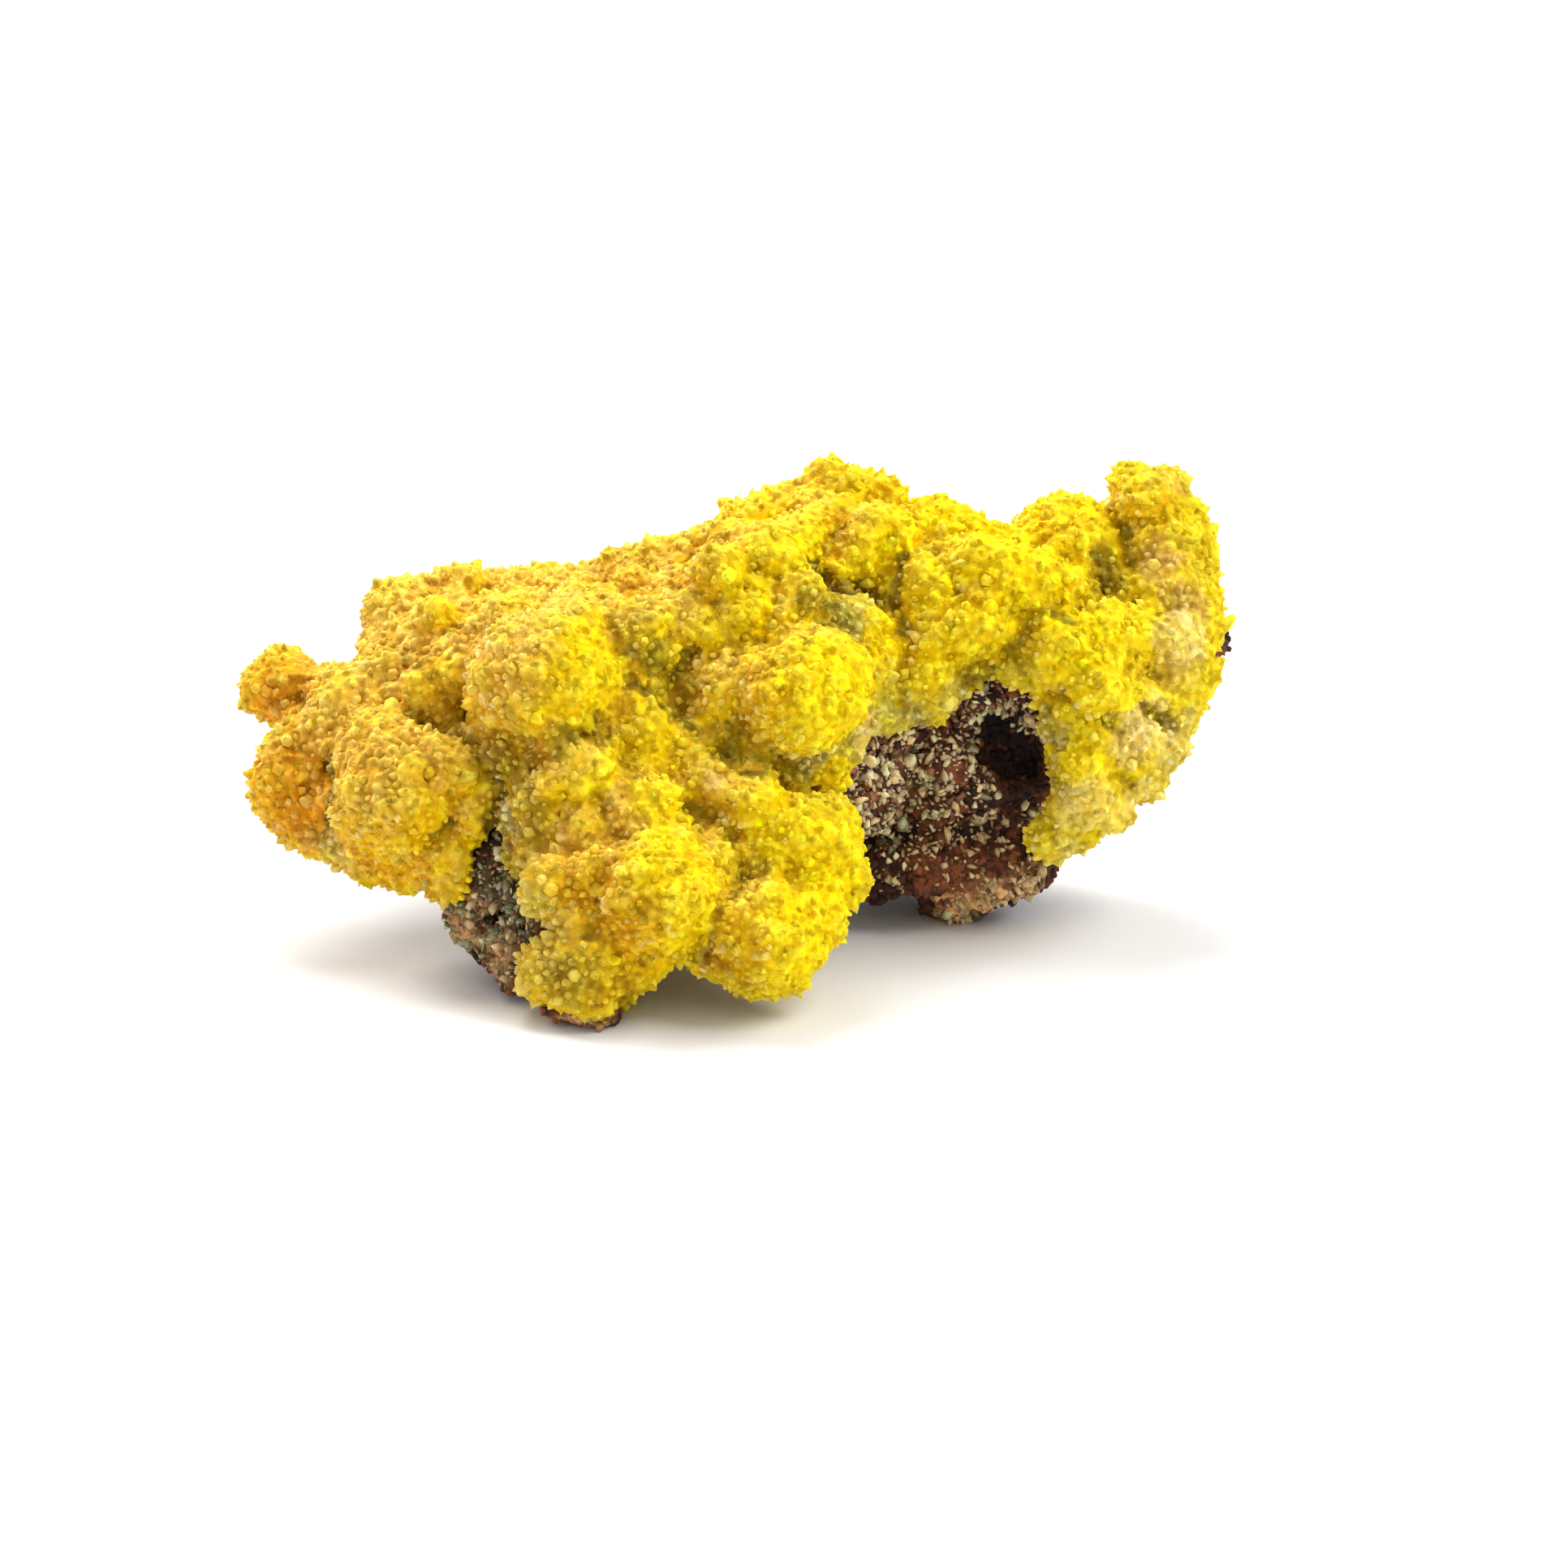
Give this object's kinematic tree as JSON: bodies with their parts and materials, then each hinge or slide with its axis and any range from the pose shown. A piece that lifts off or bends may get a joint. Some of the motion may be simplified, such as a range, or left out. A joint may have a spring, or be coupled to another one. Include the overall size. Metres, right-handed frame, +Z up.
{
  "type": "mimetite specimen",
  "caption": "Mineral specimen: a knobbly crust of yellow mimetite over craggy brown rock, with an open hollow at the front right; it stands on points of bare rock.",
  "frame": {"origin": "middle of the specimen's bounding box, at the height of the surface on which it stands", "axes": "+Z up; +X along the specimen's length, to the end that rises into a knob; +Y to the back, away from the side that shows the open hollow"},
  "size_m": [0.0564, 0.033, 0.0255],
  "materials": {
    "matrix": "rough, earthy dark red-brown iron oxide rock, ochre along its lower lip",
    "mimetite_crust": "sugary lemon to honey yellow crystals, slightly translucent, resinous lustre",
    "hollow_druse": "tiny pale crystals, glassy"
  },
  "bodies": {
    "root": {"matrix": "matrix", "mimetite_crust": "mimetite_crust", "hollow_druse": "hollow_druse"}
  },
  "joints": []
}
